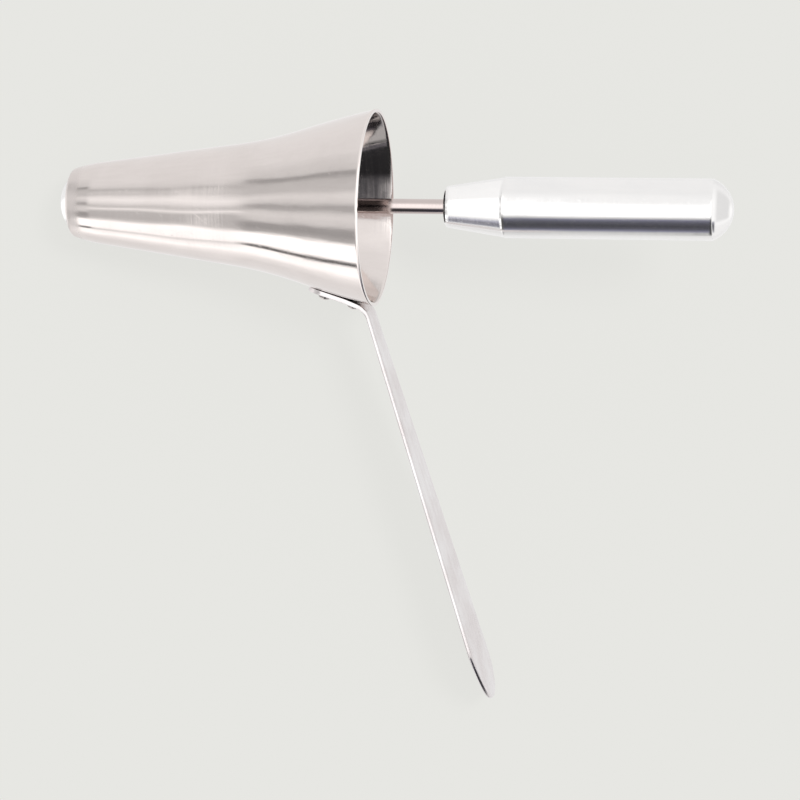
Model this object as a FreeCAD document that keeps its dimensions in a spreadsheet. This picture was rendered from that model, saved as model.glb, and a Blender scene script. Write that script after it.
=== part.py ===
# Anal speculum: a flared steel tube with a riveted flat handle, and the obturator that is drawn out of it.
# Every piece is drawn along the tube's axis, +X from the tip to the grip, the handle on -Y.
# The last step lays the instrument down as it rests on a table: on its rim, its tip and the handle's end.
import FreeCAD, Part
import math
import os
import re

import Sketcher
from FreeCAD import Placement, Rotation, Vector

# Driving dimensions: name, value in millimetres or degrees, what it measures
SIZES = [
    ("tube_length", 103.2, "tip face to mouth plane"),
    ("wall", 1.0, "thickness of the tube's sheet"),
    ("tip_opening", 9.4, "radius of the hole in the tip"),
    ("tip_face", 9.9, "radius of the tip's flat face"),
    ("shoulder_radius", 1.7, "rounding round the tip's face"),
    ("tip_curve_radius", 45.0, "long curve behind the shoulder"),
    ("tip_curve_end", 10.0, "tip face to the start of the straight taper"),
    ("taper_angle", 8.1, "half angle of the straight taper"),
    ("flare_start", 55.7, "tip face to the start of the flare"),
    ("flare_end", 78.8, "tip face to where the flare turns back"),
    ("flare_radius", 137.0, "hollow curve of the flare"),
    ("mouth_curve_radius", 314.0, "full curve between the flare and the mouth"),
    ("foot_setback", 20.1, "mouth plane back to where the handle's foot touches the tube"),
    ("foot_gap", 0.02, "clearance between the foot and the tube"),
    ("foot_lead", 2.5, "foot beyond the touching point, towards the tip"),
    ("foot_run", 15.2, "touching point to the start of the bend"),
    ("blade_thickness", 1.5, "thickness of the handle's strip"),
    ("blade_width", 11.8, "width of the foot and of the bend"),
    ("bend_angle", 55.3, "turn of the bend"),
    ("bend_radius", 5.2, "radius inside the bend"),
    ("arm_length", 135.3, "end of the bend to the end of the handle"),
    ("arm_end_radius", 13.2, "rounding of the handle's wide end"),
    ("front_rivet_place", 3.2, "touching point to the front rivet"),
    ("rear_rivet_place", 13.4, "touching point to the rear rivet"),
    ("rivet_shank", 1.2, "radius of a rivet's shank"),
    ("rivet_clearance", 0.05, "between a shank and its hole"),
    ("rivet_head", 2.2, "radius of a rivet's domed head"),
    ("rivet_head_height", 1.8, "height of a rivet's domed head"),
    ("rivet_button", 1.9, "radius of a rivet's closed end"),
    ("rivet_button_height", 0.8, "height of a rivet's closed end"),
    ("rivet_button_gap", 0.17, "closed end to the middle of the curved wall it sits on"),
    ("nose_length", 30.0, "tip face to the rear of the obturator's nose"),
    ("nose_dome", 4.0, "dome that stands out of the tip"),
    ("nose_clearance", 0.25, "between the nose and the tube"),
    ("nose_bore_depth", 15.0, "hole for the rod in the nose"),
    ("nose_seat", 4.0, "tip face to the point the obturator leans about"),
    ("lean_angle", 0.32, "lean that the nose's clearance lets the obturator take"),
    ("rod_radius", 2.5, "radius of the rod"),
    ("rod_chamfer", 0.4, "chamfer at each end of the rod"),
    ("rod_clearance", 0.03, "between the rod and its two holes"),
    ("rod_end_gap", 0.2, "rod's end to the bottom of its hole"),
    ("grip_gap", 23.3, "mouth plane to the front of the grip"),
    ("grip_length", 94.2, "front of the grip to the top of its dome"),
    ("grip_radius", 10.0, "radius of the grip"),
    ("grip_bore_depth", 20.0, "hole for the rod in the grip"),
    ("grip_front", 6.85, "radius at the front of the grip's taper"),
    ("grip_front_edge", 1.2, "rounding of the grip's front edge"),
    ("grip_taper", 18.8, "length of the grip's taper"),
    ("grip_taper_step", 0.2, "step between the taper and the cylinder"),
    ("grip_dome", 7.5, "length of the grip's domed end"),
    ("grip_dome_step", 0.12, "step between the cylinder and the dome"),
]
NAMES = [name for name, value, note in SIZES]
FULL_TURN = 360
RIGHT_ANGLE = 90

# The search for the roll on the table: its upper limit in degrees, and where it stops, in radians
STEEPEST_ROLL = 45
ROLL_PRECISION = 1e-9

# A sketch's own axes and origin, as its constraints count them
AXES = {"across": -1, "up": -2}
ORIGIN = (-1, 1)

doc = FreeCAD.newDocument("anal_speculum")
sheet = doc.addObject("Spreadsheet::Sheet", "sizes")
for row, (name, value, note) in enumerate(SIZES, start=1):
    sheet.set(f"A{row}", name)
    sheet.set(f"B{row}", str(value))
    sheet.set(f"C{row}", note)
    sheet.setAlias(f"B{row}", name)
doc.recompute()


def bound(text):
    """Turns an expression in the sizes' names into one that reads them from the sheet."""
    return re.sub(r"[a-z_]+", lambda word: "sizes." + word[0] if word[0] in NAMES else word[0], text)


def value_of(text):
    return float(doc.sizes.evalExpression(bound(text)))


# Sketch helpers

def origin_plane(body, role):
    return next(item for item in body.Origin.OriginFeatures if item.Role == role)


def new_body(label):
    body = doc.addObject("PartDesign::Body", label)
    body.Label = label
    sketch = body.newObject("Sketcher::SketchObject", label + "_section")
    sketch.AttachmentSupport = [(origin_plane(body, "XY_Plane"), "")]
    sketch.MapMode = "FlatFace"
    return body, sketch


def measure(sketch, kind, *where, text):
    """Adds a constraint whose value follows an expression in the sizes."""
    number = value_of(text)
    if kind == "Angle":
        number = math.radians(number)
    index = sketch.addConstraint(Sketcher.Constraint(kind, *where, number))
    sketch.setExpression(f"Constraints[{index}]", bound(text))


def pin_point(sketch, edge, end, across, up):
    """Holds one end of an edge at a place given by two expressions."""
    for text, distance, axis in ((across, "DistanceX", "up"), (up, "DistanceY", "across")):
        if text == "0":
            sketch.addConstraint(Sketcher.Constraint("PointOnObject", edge, end, AXES[axis]))
        else:
            measure(sketch, distance, *ORIGIN, edge, end, text=text)


def arc_through(start, end, radius):
    """The arc from start to end whose centre lies on the right of the way from one to the other."""
    middle = (start + end) * 0.5
    along = end - start
    reach = math.sqrt(radius ** 2 - (along.Length / 2) ** 2)
    centre = middle + Vector(along.y, -along.x, 0).normalize() * reach
    first = math.atan2(end.y - centre.y, end.x - centre.x)
    last = math.atan2(start.y - centre.y, start.x - centre.x)
    return Part.ArcOfCircle(Part.Circle(centre, Vector(0, 0, 1), radius), first, last)


def closed_section(sketch, corners, arcs):
    """Joins the corners, pairs of expressions, in turn; arcs gives the radius of each curved edge."""
    points = [Vector(value_of(across), value_of(up), 0) for across, up in corners]
    ends = []
    for place, start in enumerate(points):
        end = points[(place + 1) % len(points)]
        if place in arcs:
            sketch.addGeometry(arc_through(start, end, value_of(arcs[place])))
            ends.append((2, 1))
        else:
            sketch.addGeometry(Part.LineSegment(start, end))
            ends.append((1, 2))
    for place, (across, up) in enumerate(corners):
        after = (place + 1) % len(corners)
        joined = (place, ends[place][1], after, ends[after][0])
        sketch.addConstraint(Sketcher.Constraint("Coincident", *joined))
        pin_point(sketch, place, ends[place][0], across, up)
        if place in arcs:
            measure(sketch, "Radius", place, text=arcs[place])


def revolve(body, sketch):
    turn = body.newObject("PartDesign::Revolution", body.Label + "_turn")
    turn.Profile = sketch
    turn.ReferenceAxis = (sketch, ["H_Axis"])
    turn.Angle = FULL_TURN
    sketch.Visibility = False
    body.Tip = turn
    return body


def turned(label, corners, arcs):
    """A solid turned about the X axis from a closed section."""
    body, sketch = new_body(label)
    closed_section(sketch, corners, arcs)
    return revolve(body, sketch)


# The tube's curve, from the tip's face to the mouth

class TubeCurve:
    """Centres, radii and slopes of the tube's outer curve, worked out from the sizes."""

    def __init__(self):
        self.shoulder = Vector(value_of("shoulder_radius"), value_of("tip_face"), 0)
        self.taper = math.radians(value_of("taper_angle"))
        tip_radius = value_of("tip_curve_radius")
        along = value_of("tip_curve_end") + tip_radius * math.sin(self.taper)
        between = tip_radius - value_of("shoulder_radius")
        self.shoulder_slope = math.asin((along - self.shoulder.x) / between)
        self.tip = Vector(along, self.shoulder.y - between * math.cos(self.shoulder_slope), 0)
        self.taper_start = self.on_circle(self.tip, tip_radius, self.taper)
        run = value_of("flare_start - tip_curve_end")
        self.taper_end = self.taper_start + Vector(run, run * math.tan(self.taper), 0)
        flare_radius = value_of("flare_radius")
        self.flare = self.on_circle(self.taper_end, flare_radius, self.taper)
        turning = value_of("flare_end - flare_start") / flare_radius
        self.flare_slope = math.asin(math.sin(self.taper) + turning)
        turning_point = self.on_circle(self.flare, -flare_radius, self.flare_slope)
        mouth_radius = value_of("mouth_curve_radius")
        self.mouth = self.on_circle(turning_point, -mouth_radius, self.flare_slope)
        self.mouth_slope = self.slope_at(value_of("tube_length"))
        self.rim = self.on_circle(self.mouth, mouth_radius, self.mouth_slope)

    @staticmethod
    def on_circle(centre, radius, slope):
        """The point of a circle where its upper side has the given slope."""
        return centre + Vector(-math.sin(slope), math.cos(slope), 0) * radius

    def slope_at(self, station):
        """The slope of the curve behind the mouth, at a distance from the tip's face."""
        return math.asin((self.mouth.x - station) / value_of("mouth_curve_radius"))

    def radius_at(self, station):
        return self.on_circle(self.mouth, value_of("mouth_curve_radius"), self.slope_at(station)).y


curve = TubeCurve()


def upper_arc(centre, radius, slope, last_slope):
    """An arc on the upper side of a circle, between two slopes, the smaller one first."""
    circle = Part.Circle(centre, Vector(0, 0, 1), radius)
    return Part.ArcOfCircle(circle, math.pi / 2 + slope, math.pi / 2 + last_slope)


def draw_tip(sketch, inset):
    """Draws the shoulder, the tip's curve and the start of the taper, at a depth below the outer surface.

    It returns the index of the shoulder's arc; the tip's curve and the taper are the next two.
    """
    depth = value_of(inset)
    first = sketch.GeometryCount
    inward = Vector(math.sin(curve.taper), -math.cos(curve.taper), 0) * depth
    radius = value_of("shoulder_radius") - depth
    sketch.addGeometry(upper_arc(curve.shoulder, radius, curve.shoulder_slope, math.pi / 2))
    radius = value_of("tip_curve_radius") - depth
    sketch.addGeometry(upper_arc(curve.tip, radius, curve.taper, curve.shoulder_slope))
    sketch.addGeometry(Part.LineSegment(curve.taper_start + inward, curve.taper_end + inward))
    sketch.addConstraint(Sketcher.Constraint("Tangent", first, 1, first + 1, 2))
    sketch.addConstraint(Sketcher.Constraint("Tangent", first + 1, 1, first + 2, 1))
    pin_point(sketch, first, 3, "shoulder_radius", "tip_face")
    measure(sketch, "DistanceY", *ORIGIN, first, 2, text="tip_face")
    measure(sketch, "Radius", first, text=f"shoulder_radius - ({inset})")
    measure(sketch, "Radius", first + 1, text=f"tip_curve_radius - ({inset})")
    taper_start = f"tip_curve_end + ({inset}) * sin(taper_angle)"
    measure(sketch, "DistanceX", *ORIGIN, first + 2, 1, text=taper_start)
    measure(sketch, "Angle", first + 2, text="taper_angle")
    return first


def draw_tube_curve(sketch, inset):
    """Draws the whole curve at a depth below the outer surface, as five edges from the tip to the mouth."""
    depth = value_of(inset)
    first = draw_tip(sketch, inset)
    flare_radius = value_of("flare_radius") + depth
    flare_circle = Part.Circle(curve.flare, Vector(0, 0, 1), flare_radius)
    flare_angles = (curve.taper - math.pi / 2, curve.flare_slope - math.pi / 2)
    sketch.addGeometry(Part.ArcOfCircle(flare_circle, *flare_angles))
    mouth_radius = value_of("mouth_curve_radius") - depth
    end_slope = math.asin((curve.mouth.x - value_of("tube_length")) / mouth_radius)
    sketch.addGeometry(upper_arc(curve.mouth, mouth_radius, end_slope, curve.flare_slope))
    sketch.addConstraint(Sketcher.Constraint("Tangent", first + 2, 2, first + 3, 1))
    sketch.addConstraint(Sketcher.Constraint("Tangent", first + 3, 2, first + 4, 2))
    turning_slope = "(sin(taper_angle) + (flare_end - flare_start) / flare_radius)"
    measure(sketch, "DistanceX", *ORIGIN, first + 2, 2, text=f"flare_start + ({inset}) * sin(taper_angle)")
    measure(sketch, "DistanceX", *ORIGIN, first + 3, 2, text=f"flare_end + ({inset}) * {turning_slope}")
    measure(sketch, "Radius", first + 3, text=f"flare_radius + ({inset})")
    measure(sketch, "Radius", first + 4, text=f"mouth_curve_radius - ({inset})")
    measure(sketch, "DistanceX", *ORIGIN, first + 4, 1, text="tube_length")
    return first


# The handle's foot lies flat against the tube: this frame has its origin where the two touch,
# +X along the foot towards the rim and +Y towards the tube's axis
foot_station = value_of("tube_length - foot_setback")
foot_slope = curve.slope_at(foot_station)
foot_touch = Vector(foot_station, -curve.radius_at(foot_station), 0)
foot_frame = Placement(foot_touch, Rotation(Vector(0, 0, 1), -math.degrees(foot_slope)))


def through_hole(name, place):
    """A round cutter across the foot and the tube's wall, on a rivet's axis."""
    hole = doc.addObject("Part::Cylinder", name)
    hole.setExpression("Radius", bound("rivet_shank + rivet_clearance"))
    hole.setExpression("Height", bound("4 * blade_thickness + 4 * wall"))
    centred = Vector(value_of(place), -value_of("2 * blade_thickness + 2 * wall"), 0)
    hole.Placement = Placement(centred, Rotation(Vector(1, 0, 0), -RIGHT_ANGLE))
    return hole


def rivet_cutters(owner):
    cutters = doc.addObject("Part::MultiFuse", owner + "_holes")
    cutters.Shapes = [
        through_hole(owner + "_front_hole", "front_rivet_place"),
        through_hole(owner + "_rear_hole", "rear_rivet_place"),
    ]
    return cutters


def cut(label, base, tool):
    result = doc.addObject("Part::Cut", label)
    result.Label = label
    result.Base = base
    result.Tool = tool
    return result


def make_tube():
    """One sheet, spun to a curve, turned in round a hole at the tip and open at the mouth."""
    body, sketch = new_body("tube_shell")
    outer = draw_tube_curve(sketch, "0")
    inner = draw_tube_curve(sketch, "wall")
    tip_corners = [Vector(0, value_of("tip_face"), 0), Vector(0, value_of("tip_opening"), 0)]
    tip_corners.append(Vector(value_of("wall"), value_of("tip_opening"), 0))
    tip_corners.append(Vector(value_of("wall"), value_of("tip_face"), 0))
    face = sketch.GeometryCount
    for start, end in zip(tip_corners, tip_corners[1:]):
        sketch.addGeometry(Part.LineSegment(start, end))
    outer_end = sketch.getPoint(outer + 4, 1)
    inner_end = sketch.getPoint(inner + 4, 1)
    mouth = sketch.addGeometry(Part.LineSegment(outer_end, inner_end))
    joins = [
        (outer, 2, face, 1),
        (face, 2, face + 1, 1),
        (face + 1, 2, face + 2, 1),
        (face + 2, 2, inner, 2),
        (mouth, 1, outer + 4, 1),
        (mouth, 2, inner + 4, 1),
    ]
    for join in joins:
        sketch.addConstraint(Sketcher.Constraint("Coincident", *join))
    sketch.addConstraint(Sketcher.Constraint("Vertical", face))
    sketch.addConstraint(Sketcher.Constraint("Horizontal", face + 1))
    sketch.addConstraint(Sketcher.Constraint("Vertical", face + 2))
    measure(sketch, "DistanceY", *ORIGIN, face + 1, 1, text="tip_opening")
    revolve(body, sketch)
    holes = rivet_cutters("tube")
    holes.Placement = foot_frame
    return cut("speculum_tube", body, holes)


def strip_plate(name, sketch_rotation, length, backward):
    """A sketch and its straight extrusion; the sketch is returned empty."""
    sketch = doc.addObject("Sketcher::SketchObject", name + "_outline")
    sketch.Placement = Placement(Vector(0, 0, 0), sketch_rotation)
    plate = doc.addObject("Part::Extrusion", name)
    plate.Base = sketch
    plate.DirMode = "Normal"
    plate.Solid = True
    plate.setExpression("LengthFwd", bound(length))
    plate.setExpression("LengthRev", bound(backward))
    sketch.Visibility = False
    return plate, sketch


def draw_bent_strip(sketch):
    """The strip's side: foot, bend and arm, all of one thickness."""
    turn = math.radians(value_of("bend_angle"))
    thickness = value_of("blade_thickness")
    inside = value_of("bend_radius")
    outside = inside + thickness
    centre = Vector(value_of("foot_run"), -outside, 0)
    down_arm = Vector(math.cos(turn), -math.sin(turn), 0) * value_of("arm_length")
    outward = Vector(math.sin(turn), math.cos(turn), 0)
    back = Vector(-value_of("foot_lead"), 0, 0)
    below = Vector(0, -thickness, 0)
    top_start = Vector(value_of("foot_run"), 0, 0)
    top_end = centre + outward * outside
    low_end = centre + outward * inside
    upright = math.pi / 2
    edges = [
        Part.LineSegment(back, top_start),
        Part.ArcOfCircle(Part.Circle(centre, Vector(0, 0, 1), outside), upright - turn, upright),
        Part.LineSegment(top_end, top_end + down_arm),
        Part.LineSegment(top_end + down_arm, low_end + down_arm),
        Part.LineSegment(low_end + down_arm, low_end),
        Part.ArcOfCircle(Part.Circle(centre, Vector(0, 0, 1), inside), upright - turn, upright),
        Part.LineSegment(top_start + below, back + below),
        Part.LineSegment(back + below, back),
    ]
    drawn = [sketch.addGeometry(edge) for edge in edges]
    foot, bend, arm, end, arm_back, bend_back, foot_back, lead = drawn
    smooth = [
        (foot, 2, bend, 2),
        (bend, 1, arm, 1),
        (arm_back, 2, bend_back, 1),
        (bend_back, 2, foot_back, 1),
    ]
    sharp = [(arm, 2, end, 1), (end, 2, arm_back, 1), (foot_back, 2, lead, 1), (lead, 2, foot, 1)]
    for join in smooth:
        sketch.addConstraint(Sketcher.Constraint("Tangent", *join))
    for join in sharp:
        sketch.addConstraint(Sketcher.Constraint("Coincident", *join))
    sketch.addConstraint(Sketcher.Constraint("Coincident", bend, 3, bend_back, 3))
    sketch.addConstraint(Sketcher.Constraint("Vertical", lead))
    sketch.addConstraint(Sketcher.Constraint("Perpendicular", arm, end))
    pin_point(sketch, foot, 1, "-foot_lead", "0")
    pin_point(sketch, foot, 2, "foot_run", "0")
    measure(sketch, "Radius", bend_back, text="bend_radius")
    measure(sketch, "DistanceY", foot_back, 2, foot, 1, text="blade_thickness")
    measure(sketch, "Distance", arm, text="arm_length")
    measure(sketch, "Angle", foot, 2, arm, 1, text="180 - bend_angle")


def draw_foot_outline(sketch):
    """The foot from above: parallel sides and a round front end; it reaches under the whole bend."""
    reach = "foot_run + bend_radius + blade_thickness"
    half = "blade_width / 2"
    corners = [
        ("blade_width / 2 - foot_lead", half),
        (reach, half),
        (reach, "-" + half),
        ("blade_width / 2 - foot_lead", "-" + half),
        ("-foot_lead", "0"),
    ]
    closed_section(sketch, corners, {3: half, 4: half})


def draw_arm_outline(sketch):
    """The arm from above: it widens evenly from the bend and ends in a round tangent to both sides."""
    half = value_of("blade_width / 2")
    radius = value_of("arm_end_radius")
    centre = Vector(value_of("arm_length - arm_end_radius"), 0, 0)
    away = math.hypot(centre.x, half)
    turn = math.atan2(half, centre.x) + math.acos(radius / away)
    upper = centre + Vector(-math.cos(turn), math.sin(turn), 0) * radius
    lower = Vector(upper.x, -upper.y, 0)
    angle = math.atan2(upper.y, upper.x - centre.x)
    top_side = sketch.addGeometry(Part.LineSegment(Vector(0, half, 0), upper))
    end_circle = Part.Circle(centre, Vector(0, 0, 1), radius)
    round_end = sketch.addGeometry(Part.ArcOfCircle(end_circle, -angle, angle))
    low_side = sketch.addGeometry(Part.LineSegment(lower, Vector(0, -half, 0)))
    start = sketch.addGeometry(Part.LineSegment(Vector(0, -half, 0), Vector(0, half, 0)))
    sketch.addConstraint(Sketcher.Constraint("Tangent", top_side, 2, round_end, 2))
    sketch.addConstraint(Sketcher.Constraint("Tangent", round_end, 1, low_side, 1))
    sketch.addConstraint(Sketcher.Constraint("Coincident", low_side, 2, start, 1))
    pin_point(sketch, top_side, 1, "0", "blade_width / 2")
    pin_point(sketch, low_side, 2, "0", "-blade_width / 2")
    pin_point(sketch, round_end, 3, "arm_length - arm_end_radius", "0")
    sketch.addConstraint(Sketcher.Constraint("Coincident", start, 2, top_side, 1))
    measure(sketch, "Radius", round_end, text="arm_end_radius")


def make_blade():
    """One flat strip: a narrow riveted foot, a bend and a long arm that widens to its end."""
    flat = Rotation(Vector(1, 0, 0), RIGHT_ANGLE)
    sideways = "arm_end_radius + blade_width"
    side, sketch = strip_plate("blade_side", Rotation(), sideways, sideways)
    draw_bent_strip(sketch)
    foot, sketch = strip_plate("blade_foot", flat, "bend_radius + 2 * blade_thickness", "blade_thickness")
    draw_foot_outline(sketch)
    arm, sketch = strip_plate("blade_arm", flat, "2 * blade_thickness", "blade_thickness")
    draw_arm_outline(sketch)
    turn = math.radians(value_of("bend_angle"))
    outside = value_of("bend_radius + blade_thickness")
    bend_end = Vector(outside * math.sin(turn), outside * (math.cos(turn) - 1), 0)
    bend_end.x += value_of("foot_run")
    arm_frame = Placement(bend_end, Rotation(Vector(0, 0, 1), -value_of("bend_angle")))
    sketch.Placement = arm_frame.multiply(Placement(Vector(0, 0, 0), flat))
    outlines = doc.addObject("Part::Fuse", "blade_outlines")
    outlines.Base = foot
    outlines.Tool = arm
    strip = doc.addObject("Part::Common", "blade_strip")
    strip.Base = side
    strip.Tool = outlines
    return cut("handle_blade", strip, rivet_cutters("blade"))


def make_rivet(label, place):
    """A domed head on the foot, a shank through foot and wall, and a low button closed inside the tube."""
    inner_wall = f"(mouth_curve_radius - sqrt((mouth_curve_radius - wall) ^ 2 - {place} ^ 2))"
    held = f"blade_thickness + foot_gap + {inner_wall} + rivet_button_gap"
    corners = [
        ("-rivet_head_height", "0"),
        ("0", "rivet_head"),
        ("0", "rivet_shank"),
        (held, "rivet_shank"),
        (held, "rivet_button"),
        (held + " + rivet_button_height", "0"),
    ]
    head_arc = "(rivet_head_height ^ 2 + rivet_head ^ 2) / (2 * rivet_head_height)"
    button_arc = "(rivet_button_height ^ 2 + rivet_button ^ 2) / (2 * rivet_button_height)"
    rivet = turned(label, corners, {0: head_arc, 4: button_arc})
    across = Vector(value_of(place), -value_of("blade_thickness"), 0)
    return rivet, Placement(across, Rotation(Vector(0, 0, 1), RIGHT_ANGLE))


def make_nose():
    """The obturator's plug: it follows the inside of the tip, and its dome stands out of the tip's hole."""
    body, sketch = new_body("obturator_nose")
    inset = "wall + nose_clearance"
    front = "tip_opening - nose_clearance"
    bore = "rod_radius + rod_clearance"
    shoulder = draw_tip(sketch, inset)
    taper = shoulder + 2
    corners = [
        (inset, "tip_face"),
        (inset, front),
        ("0", front),
        ("-nose_dome", "0"),
        ("nose_length - nose_bore_depth", "0"),
        ("nose_length - nose_bore_depth", bore),
        ("nose_length", bore),
    ]
    dome_radius = value_of(f"(nose_dome ^ 2 + ({front}) ^ 2) / (2 * nose_dome)")
    points = [Vector(value_of(across), value_of(up), 0) for across, up in corners]
    points.append(Vector(points[-1].x, sketch.getPoint(taper, 2).y, 0))
    edges = [Part.LineSegment(start, end) for start, end in zip(points, points[1:])]
    edges[2] = arc_through(points[3], points[2], dome_radius)
    first = sketch.GeometryCount
    for edge in edges:
        sketch.addGeometry(edge)
    last = sketch.GeometryCount - 1
    dome = first + 2
    joins = [(shoulder, 2, first, 1)]
    joins += [(edge, 2, edge + 1, 1) for edge in range(first, last)]
    joins.append((last, 2, taper, 2))
    for join in joins:
        sketch.addConstraint(Sketcher.Constraint("Coincident", *join))
    sketch.addConstraint(Sketcher.Constraint("Vertical", first))
    sketch.addConstraint(Sketcher.Constraint("Horizontal", first + 1))
    sketch.addConstraint(Sketcher.Constraint("PointOnObject", dome, 3, AXES["across"]))
    sketch.addConstraint(Sketcher.Constraint("Vertical", last))
    pin_point(sketch, dome, 1, *corners[2])
    pin_point(sketch, dome, 2, *corners[3])
    for place, corner in enumerate(corners[4:]):
        pin_point(sketch, dome + 2 + place, 1, *corner)
    return revolve(body, sketch)


def make_rod():
    """The plain rod between the nose and the grip, chamfered at both ends."""
    start = "nose_length - nose_bore_depth + rod_end_gap"
    end = "tube_length + grip_gap + grip_bore_depth - rod_end_gap"
    corners = [
        (start, "0"),
        (start, "rod_radius - rod_chamfer"),
        (start + " + rod_chamfer", "rod_radius"),
        (end + " - rod_chamfer", "rod_radius"),
        (end, "rod_radius - rod_chamfer"),
        (end, "0"),
    ]
    return turned("obturator_rod", corners, {})


def make_grip():
    """The turned grip: a taper at the front, a long cylinder and a domed end."""
    start = "tube_length + grip_gap"
    cylinder_end = start + " + grip_length - grip_dome"
    bore = "rod_radius + rod_clearance"
    dome_edge = "grip_radius - grip_dome_step"
    corners = [
        (start + " + grip_bore_depth", "0"),
        (start + " + grip_bore_depth", bore),
        (start, bore),
        (start, "grip_front - grip_front_edge"),
        (start + " + grip_front_edge", "grip_front"),
        (start + " + grip_taper", "grip_radius - grip_taper_step"),
        (start + " + grip_taper", "grip_radius"),
        (cylinder_end, "grip_radius"),
        (cylinder_end, dome_edge),
        (start + " + grip_length", "0"),
    ]
    dome_arc = f"(grip_dome ^ 2 + ({dome_edge}) ^ 2) / (2 * grip_dome)"
    return turned("obturator_grip", corners, {3: "grip_front_edge", 8: dome_arc})


# The lie on the table

def resting_tilt():
    """The angle of the axis when the rim and the tip's curve both touch the table."""
    along = curve.rim.x - curve.tip.x
    across = curve.rim.y - curve.tip.y
    return math.atan2(across, along) - math.asin(value_of("tip_curve_radius") / math.hypot(along, across))


def resting_roll(tilt):
    """The turn about the tube's axis that brings the handle's round end down to the rim's level."""
    bearing = foot_slope + math.radians(value_of("bend_angle"))
    arm = Vector(math.cos(bearing), -math.sin(bearing), 0)
    normal = Vector(math.sin(bearing), math.cos(bearing), 0)
    middle = value_of("bend_radius + blade_thickness / 2")
    outside = value_of("bend_radius + blade_thickness")
    bend_centre = foot_frame.multVec(Vector(value_of("foot_run"), -outside, 0))
    end_centre = bend_centre + normal * middle + arm * value_of("arm_length - arm_end_radius")
    rim_level = curve.rim.x * math.sin(tilt) - curve.rim.y * math.cos(tilt)
    low, high = 0.0, math.radians(STEEPEST_ROLL)
    while high - low > ROLL_PRECISION:
        roll = (low + high) / 2
        up = Vector(math.sin(tilt), math.sin(roll) * math.cos(tilt), math.cos(roll) * math.cos(tilt))
        drop = value_of("arm_end_radius") * math.hypot(arm.dot(up), up.z)
        drop += value_of("blade_thickness / 2") * abs(normal.dot(up))
        if end_centre.dot(up) - drop > rim_level:
            low = roll
        else:
            high = roll
    return roll


def lay_down(pieces):
    """Turns every piece to the lie on the table, the lowest point at Z = 0 and the box centred."""
    tilt = resting_tilt()
    roll = resting_roll(tilt)
    tilted = Rotation(Vector(0, 1, 0), -math.degrees(tilt))
    rolled = Rotation(Vector(1, 0, 0), math.degrees(roll))
    rest = Placement(Vector(0, 0, 0), tilted.multiply(rolled))
    box = FreeCAD.BoundBox()
    for piece, local in pieces:
        shape = piece.Shape.copy()
        shape.Placement = rest.multiply(local)
        box.add(shape.optimalBoundingBox(False))
    rest.Base = Vector(-box.Center.x, -box.Center.y, -box.ZMin)
    for piece, local in pieces:
        piece.Placement = rest.multiply(local)
    print(f"tilt {math.degrees(tilt):.3f}, roll {math.degrees(roll):.3f}, origin {rest.Base}")
    print(f"mouth radius {curve.rim.y:.2f}, box {box.XLength:.2f} x {box.YLength:.2f} x {box.ZLength:.2f}")


def check_and_write(pieces):
    """Stops on any failed object, then writes one file for each piece."""
    failed = [item.Name for item in doc.Objects if "Invalid" in item.State or "Error" in item.State]
    if failed:
        raise RuntimeError(f"failed objects: {failed}")
    for piece, local in pieces:
        if piece.Shape.isNull() or not piece.Shape.isValid() or len(piece.Shape.Solids) != 1:
            raise RuntimeError(f"{piece.Label} is not one valid solid")
    os.makedirs("parts", exist_ok=True)
    for piece, local in pieces:
        piece.Shape.exportStep(f"parts/{piece.Label}.step")
        print(f"{piece.Label}: {piece.Shape.Volume:.1f} mm3")


seated = foot_frame.multiply(Placement(Vector(0, -value_of("foot_gap"), 0), Rotation()))
front_rivet, front_place = make_rivet("front_rivet", "front_rivet_place")
rear_rivet, rear_place = make_rivet("rear_rivet", "rear_rivet_place")
pivot = Vector(value_of("nose_seat"), 0, 0)
leaning = Placement(Vector(0, 0, 0), Rotation(Vector(0, 0, 1), value_of("lean_angle")), pivot)
PIECES = [
    (make_tube(), Placement()),
    (make_blade(), seated),
    (front_rivet, seated.multiply(front_place)),
    (rear_rivet, seated.multiply(rear_place)),
    (make_nose(), leaning),
    (make_rod(), leaning),
    (make_grip(), leaning),
]
doc.recompute()
lay_down(PIECES)
doc.recompute()
check_and_write(PIECES)
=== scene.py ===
import math

import bmesh
import bpy
from mathutils import Matrix, Vector


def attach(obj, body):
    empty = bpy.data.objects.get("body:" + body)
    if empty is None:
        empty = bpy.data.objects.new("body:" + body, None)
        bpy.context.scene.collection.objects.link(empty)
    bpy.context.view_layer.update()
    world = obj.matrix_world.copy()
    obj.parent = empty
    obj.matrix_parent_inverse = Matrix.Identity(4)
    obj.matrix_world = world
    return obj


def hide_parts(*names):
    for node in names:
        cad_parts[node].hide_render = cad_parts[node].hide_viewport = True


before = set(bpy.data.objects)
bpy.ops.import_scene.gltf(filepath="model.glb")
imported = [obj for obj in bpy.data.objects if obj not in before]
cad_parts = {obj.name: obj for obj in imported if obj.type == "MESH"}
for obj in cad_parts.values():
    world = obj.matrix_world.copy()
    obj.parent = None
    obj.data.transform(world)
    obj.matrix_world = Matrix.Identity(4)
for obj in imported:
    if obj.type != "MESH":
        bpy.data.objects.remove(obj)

bpy.context.view_layer.update()
scene = bpy.context.scene

# The instrument's own frame: its origin at the tip, X along the tube, -Y towards the handle
TIP = Vector((-0.106199, 0.065326, 0.011547))
ALONG = Vector((0.980543, 0.0, 0.196303))
ACROSS = Vector((-0.033655, 0.985193, 0.168111))
ABOVE = Vector((-0.193396, -0.171447, 0.966025))

# The camera, as the photograph was taken: almost straight down
CAMERA_DISTANCE = 1.0
CAMERA_TARGET = Vector((0.004593, 0.002194, 0.030))
CAMERA_TILT_X = 0.712
CAMERA_TILT_Y = 1.053
CAMERA_TURN = -1.514
LENS = 136.31
SENSOR = 36.0
CLIP_START = 0.05
CLIP_END = 20.0

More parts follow.
